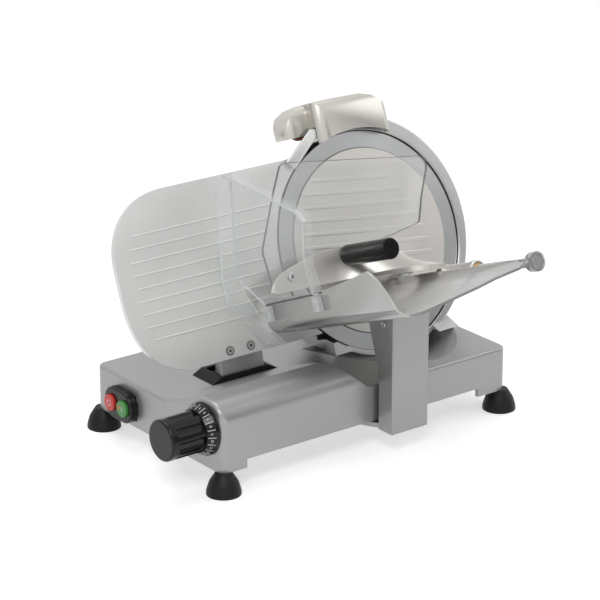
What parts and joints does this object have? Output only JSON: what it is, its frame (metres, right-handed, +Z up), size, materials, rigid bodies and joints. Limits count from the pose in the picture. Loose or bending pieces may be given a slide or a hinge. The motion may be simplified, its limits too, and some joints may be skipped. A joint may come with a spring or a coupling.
{
  "type": "deli meat slicer",
  "caption": "Angled-blade countertop food slicer with a sliding product table, gauge plate, meat pusher, hand guard and built-on sharpener.",
  "frame": {"origin": "centre of the four feet's recesses, on the worktop", "axes": "+X along the product table's travel, towards the blade end; -Y towards the operator; +Z up"},
  "size_m": [0.5045, 0.3735, 0.341],
  "materials": {
    "cast_grey": "satin cast aluminium, fine grain",
    "ring_aluminium": "satin anodised aluminium",
    "plate_aluminium": "satin aluminium, fine grain",
    "cover_aluminium": "satin aluminium, slightly warm",
    "blade_steel": "ground and polished steel",
    "sharpener_aluminium": "satin cast aluminium, warm",
    "tray_steel": "satin stainless sheet",
    "machined_steel": "turned steel",
    "bright_rod": "ground bright rod",
    "black_rubber": "moulded black rubber",
    "gloss_black": "glossy moulded black plastic",
    "matte_black": "matte black plastic",
    "clear_acrylic": "clear polished acrylic",
    "red_plastic": "red moulded plastic",
    "green_plastic": "green moulded plastic",
    "grinding_stone": "fine red-brown abrasive",
    "deburring_stone": "fine grey abrasive",
    "bush_bronze": "plain bronze bush",
    "motor_paint": "dark painted motor can"
  },
  "bodies": {
    "root": {"base_casting": "cast_grey", "bottom_cover": "tray_steel", "foot_1": "black_rubber", "foot_2": "black_rubber", "foot_3": "black_rubber", "foot_4": "black_rubber", "foot_studs": "machined_steel", "switch_housing": "gloss_black", "switch_block": "matte_black", "knob_bush": "bush_bronze", "gauge_rod": "bright_rod", "gauge_rod_mounts": "cast_grey", "slot_collar": "matte_black", "blade_bearings": "machined_steel", "ring_casting": "ring_aluminium", "blade_tip_guard": "plate_aluminium", "motor": "motor_paint", "motor_cover": "cast_grey", "blade_pedestal": "cast_grey", "drive_belt": "black_rubber", "blade_cover": "cover_aluminium", "cover_knob": "gloss_black", "sharpener_post": "bright_rod", "slide_rod": "bright_rod", "slide_rod_mounts": "cast_grey", "cable_gland": "matte_black"},
    "stop_button": {"stop_button": "red_plastic"},
    "start_button": {"start_button": "green_plastic"},
    "knob": {"thickness_knob": "gloss_black", "knob_shaft": "machined_steel", "gauge_cam": "machined_steel"},
    "gauge": {"gauge_plate": "plate_aluminium", "gauge_screws": "machined_steel", "gauge_bracket": "cast_grey", "gauge_bush": "bush_bronze"},
    "blade": {"blade": "blade_steel", "blade_screws": "machined_steel", "blade_shaft": "machined_steel", "blade_pulley": "machined_steel"},
    "rotor": {"motor_shaft": "machined_steel", "motor_pulley": "machined_steel"},
    "carriage": {"carriage_foot": "cast_grey", "slide_bushes": "bush_bronze", "carriage_post": "tray_steel", "meat_tray": "tray_steel", "pusher_rod": "bright_rod", "tray_bracket": "cast_grey", "hand_guard": "clear_acrylic", "guard_clamps": "clear_acrylic"},
    "pusher_slider": {"pusher_bush": "bush_bronze"},
    "pusher_arm": {"meat_pusher": "cover_aluminium", "pusher_handle": "gloss_black", "slice_guard": "clear_acrylic", "pusher_screws": "machined_steel"},
    "sharpener": {"sharpener_cover": "sharpener_aluminium", "sharpener_arm": "cast_grey", "sharpener_knob": "gloss_black"},
    "grinder": {"grinding_stone": "grinding_stone"},
    "deburrer": {"deburring_stone": "deburring_stone"},
    "sharpener_button": {"sharpener_button": "gloss_black"}
  },
  "joints": [
    {"name": "carriage_slide", "type": "slide", "parent": "root", "child": "carriage", "axis": [1, 0, 0], "range_m": [-0.12, 0.095]},
    {"name": "pusher_slide", "type": "slide", "parent": "carriage", "child": "pusher_slider", "axis": [0, -0.9336, 0.3584], "range_m": [0, 0.085]},
    {"name": "pusher_swing", "type": "hinge", "parent": "pusher_slider", "child": "pusher_arm", "pos_m": [0.14, -0.10491, 0.17322], "axis": [0, 0.9336, -0.3584], "range_deg": [0, 80]},
    {"name": "gauge_slide", "type": "slide", "parent": "root", "child": "gauge", "axis": [0, 1, 0], "range_m": [0, 0.016]},
    {"name": "knob_turn", "type": "hinge", "parent": "root", "child": "knob", "pos_m": [-0.2, -0.088, 0.067], "axis": [1, 0, 0], "range_deg": [0, 300]},
    {"name": "blade_spin", "type": "hinge", "parent": "root", "child": "blade", "pos_m": [0.11, 0.03767, 0.17633], "axis": [0, -0.9336, 0.3584], "continuous": true},
    {"name": "motor_spin", "type": "hinge", "parent": "root", "child": "rotor", "pos_m": [0.162, 0.0305, 0.15766], "axis": [0, -0.9336, 0.3584], "continuous": true},
    {"name": "sharpener_lift", "type": "slide", "parent": "root", "child": "sharpener", "axis": [0, 0.3584, 0.9336], "range_m": [0, 0.014]},
    {"name": "grinder_spin", "type": "hinge", "parent": "sharpener", "child": "grinder", "pos_m": [0.054, 0.07887, 0.31155], "axis": [0, -0.9336, 0.3584], "continuous": true},
    {"name": "deburrer_spin", "type": "hinge", "parent": "sharpener", "child": "deburrer", "pos_m": [0.086, 0.06134, 0.31613], "axis": [0, -0.9336, 0.3584], "continuous": true},
    {"name": "sharpener_push", "type": "slide", "parent": "sharpener", "child": "sharpener_button", "axis": [0, -0.9336, 0.3584], "range_m": [0, 0.004], "stiffness_N_per_m": 400},
    {"name": "stop_push", "type": "slide", "parent": "root", "child": "stop_button", "axis": [1, 0, 0], "range_m": [0, 0.003], "stiffness_N_per_m": 500},
    {"name": "start_push", "type": "slide", "parent": "root", "child": "start_button", "axis": [1, 0, 0], "range_m": [0, 0.003], "stiffness_N_per_m": 500}
  ],
  "couplings": [
    {"joint": "knob_turn", "follows": "gauge_slide", "rad_per_m": 327.24},
    {"joint": "motor_spin", "follows": "blade_spin", "ratio": 3.1667}
  ]
}
